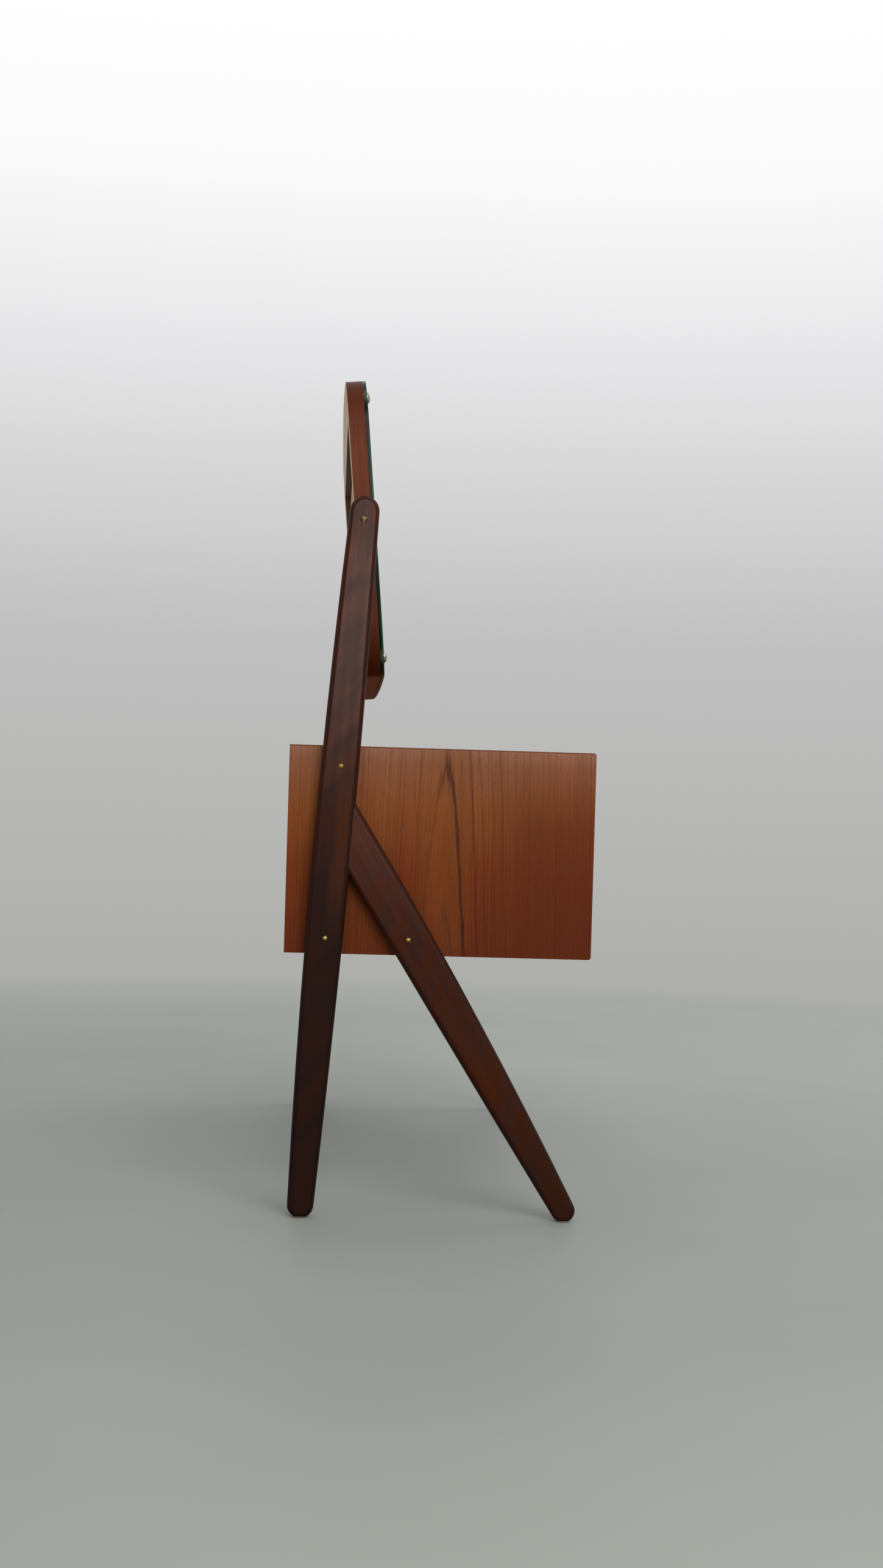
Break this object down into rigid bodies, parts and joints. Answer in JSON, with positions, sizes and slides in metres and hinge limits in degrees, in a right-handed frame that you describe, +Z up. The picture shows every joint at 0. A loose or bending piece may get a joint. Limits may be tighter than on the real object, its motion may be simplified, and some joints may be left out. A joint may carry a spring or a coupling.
{
  "type": "dressing table",
  "caption": "Kneehole dressing table with drawers in two pedestals and a wide tilting mirror held between tall raked uprights.",
  "frame": {"origin": "on the floor, under the middle of the case", "axes": "+Z up, +Y from the drawer fronts to the back, +X to the sitter's right"},
  "size_m": [1.058, 0.45, 1.2596],
  "materials": {
    "teak_veneer": "oiled teak veneer, satin",
    "dark_leg_wood": "dark stained solid wood, satin",
    "mirror_rim_wood": "red-brown stained solid wood, satin",
    "pale_wood": "plain pale wood and plywood, unfinished",
    "beech": "planed beech, waxed",
    "brass": "aged brass, satin",
    "nickel": "nickel plated, polished",
    "hardboard": "brown hardboard, matt",
    "mirror_glass": "silvered float glass with green edges",
    "fibre": "dark vulcanised fibre, matt",
    "screw_steel": "zinc plated steel"
  },
  "bodies": {
    "table": {"side_panel_left": "teak_veneer", "side_panel_right": "teak_veneer", "top_panel": "teak_veneer", "pedestal_inner_left": "teak_veneer", "pedestal_inner_right": "teak_veneer", "bottom_panel_left": "teak_veneer", "bottom_panel_right": "teak_veneer", "centre_shelf": "teak_veneer", "back_panel_left": "pale_wood", "back_panel_right": "pale_wood", "back_panel_centre": "pale_wood", "divider_rail_left": "teak_veneer", "divider_rail_right": "teak_veneer", "runners_left": "beech", "runners_right": "beech", "runners_centre": "beech", "upright_left": "dark_leg_wood", "upright_right": "dark_leg_wood", "front_leg_left": "dark_leg_wood", "front_leg_right": "dark_leg_wood", "leg_dowels": "beech", "leg_screws": "screw_steel", "screw_caps": "brass", "pivot_washers": "fibre"},
    "mirror": {"pivot_screws": "brass", "pivot_inserts": "brass", "mirror_top_rail": "mirror_rim_wood", "mirror_bottom_rail": "mirror_rim_wood", "mirror_stile_left": "mirror_rim_wood", "mirror_stile_right": "mirror_rim_wood", "mirror_pivot_rail": "pale_wood", "mirror_board": "hardboard", "mirror_glass": "mirror_glass", "mirror_screws": "nickel"},
    "upper_left_drawer": {"upper_left_front": "teak_veneer", "upper_left_sides": "beech", "upper_left_back": "beech", "upper_left_bottom": "pale_wood", "upper_left_handle": "mirror_rim_wood"},
    "lower_left_drawer": {"lower_left_front": "teak_veneer", "lower_left_sides": "beech", "lower_left_back": "beech", "lower_left_bottom": "pale_wood", "lower_left_handle": "mirror_rim_wood"},
    "centre_drawer": {"centre_front": "teak_veneer", "centre_sides": "beech", "centre_back": "beech", "centre_bottom": "pale_wood", "centre_handle": "mirror_rim_wood"},
    "upper_right_drawer": {"upper_right_front": "teak_veneer", "upper_right_sides": "beech", "upper_right_back": "beech", "upper_right_bottom": "pale_wood", "upper_right_handle": "mirror_rim_wood"},
    "lower_right_drawer": {"lower_right_front": "teak_veneer", "lower_right_sides": "beech", "lower_right_back": "beech", "lower_right_bottom": "pale_wood", "lower_right_handle": "mirror_rim_wood"}
  },
  "joints": [
    {"name": "mirror_tilt", "type": "hinge", "parent": "table", "child": "mirror", "pos_m": [0, 0.127, 1.014], "axis": [1, 0, 0], "continuous": true},
    {"name": "upper_left_drawer_slide", "type": "slide", "parent": "table", "child": "upper_left_drawer", "axis": [0, -1, 0], "range_m": [0, 0.29]},
    {"name": "lower_left_drawer_slide", "type": "slide", "parent": "table", "child": "lower_left_drawer", "axis": [0, -1, 0], "range_m": [0, 0.29]},
    {"name": "centre_drawer_slide", "type": "slide", "parent": "table", "child": "centre_drawer", "axis": [0, -1, 0], "range_m": [0, 0.29]},
    {"name": "upper_right_drawer_slide", "type": "slide", "parent": "table", "child": "upper_right_drawer", "axis": [0, -1, 0], "range_m": [0, 0.29]},
    {"name": "lower_right_drawer_slide", "type": "slide", "parent": "table", "child": "lower_right_drawer", "axis": [0, -1, 0], "range_m": [0, 0.29]}
  ]
}
